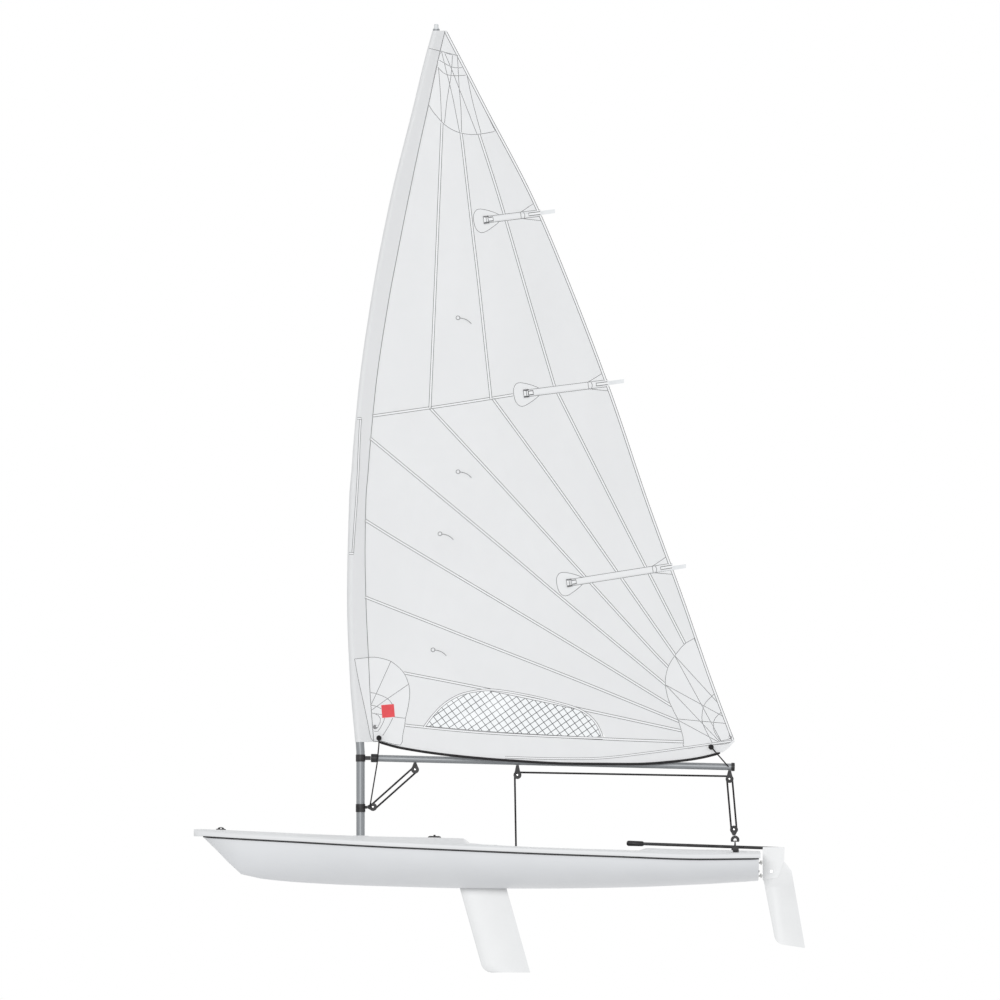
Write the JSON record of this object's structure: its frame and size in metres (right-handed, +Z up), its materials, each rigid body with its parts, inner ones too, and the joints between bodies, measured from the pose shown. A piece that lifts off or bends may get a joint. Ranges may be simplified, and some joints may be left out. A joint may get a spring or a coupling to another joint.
{
  "type": "sailing dinghy",
  "caption": "One-person sailing dinghy afloat with its sail set on a turning unstayed mast, lifting daggerboard, swinging rudder with a tiller and a blade that lifts, and an open footwell",
  "frame": {"origin": "on the waterline, on the centreline, near the hull's mid length", "axes": "+X towards the stern, +Y starboard, +Z up the mast"},
  "size_m": [4.5526, 1.38, 7.0683],
  "materials": {
    "hull_gelcoat": "gloss gelcoat, very pale grey",
    "deck_gelcoat": "gloss gelcoat, off-white",
    "foil_gelcoat": "gloss gelcoat, white",
    "sailcloth": "woven polyester sailcloth, white",
    "spar_alloy": "anodised, mid grey, satin",
    "black_plastic": "moulded nylon, black, satin",
    "steel": "brushed stainless steel",
    "black_rope": "braided rope, black",
    "webbing": "woven webbing, black",
    "batten_plastic": "glass-fibre and plastic, pale grey"
  },
  "bodies": {
    "hull": {"hull": "hull_gelcoat", "deck": "deck_gelcoat", "mast_step": "deck_gelcoat", "daggerboard_case": "deck_gelcoat", "bow_eye": "black_plastic", "deck_cleat_plate": "black_plastic", "drain_bung": "black_plastic", "gudgeon_lower": "steel", "gudgeon_upper": "steel", "hiking_strap": "webbing", "bailer": "black_plastic", "grab_rail_port": "black_plastic", "grab_rail_starboard": "black_plastic", "ratchet_block": "black_plastic", "sheet_lower_block": "black_plastic", "traveller_fairlead_port": "black_plastic", "traveller_fairlead_starboard": "black_plastic", "traveller_line": "black_rope", "traveller_shackle": "black_plastic"},
    "rudder": {"rudder_head": "foil_gelcoat", "pintle_lower": "steel", "pintle_upper": "steel", "tiller": "black_plastic", "tiller_grip": "black_plastic", "rudder_bolt": "steel"},
    "rudder_blade": {"rudder_blade": "foil_gelcoat"},
    "daggerboard": {"daggerboard": "foil_gelcoat"},
    "rig": {"lower_mast": "spar_alloy", "upper_mast": "spar_alloy", "masthead_plug": "batten_plastic", "gooseneck": "black_plastic", "boom": "spar_alloy", "boom_front_cap": "black_plastic", "boom_end_cap": "black_plastic", "vang_tang": "black_plastic", "vang_lower_block": "black_plastic", "vang_upper_block": "black_plastic", "vang_line": "black_rope", "boom_mid_block": "black_plastic", "boom_aft_block": "black_plastic", "boom_sheet_run": "black_rope", "sail": "sailcloth", "batten_top": "batten_plastic", "batten_middle": "batten_plastic", "batten_low": "batten_plastic", "cunningham_line": "black_rope", "outhaul_line": "black_rope"}
  },
  "joints": [
    {"name": "rig_turn", "type": "hinge", "parent": "hull", "child": "rig", "pos_m": [-0.875, 0, 0], "axis": [0, 0, 1], "range_deg": [-90, 90]},
    {"name": "rudder_swing", "type": "hinge", "parent": "hull", "child": "rudder", "pos_m": [2.109, 0, 0], "axis": [0, 0, 1], "range_deg": [-45, 45]},
    {"name": "blade_lift", "type": "hinge", "parent": "rudder", "child": "rudder_blade", "pos_m": [2.185, 0, 0.035], "axis": [0, -1, 0], "range_deg": [0, 80]},
    {"name": "daggerboard_slide", "type": "slide", "parent": "hull", "child": "daggerboard", "axis": [-0.2706, 0, 0.9627], "range_m": [0, 0.45]}
  ]
}
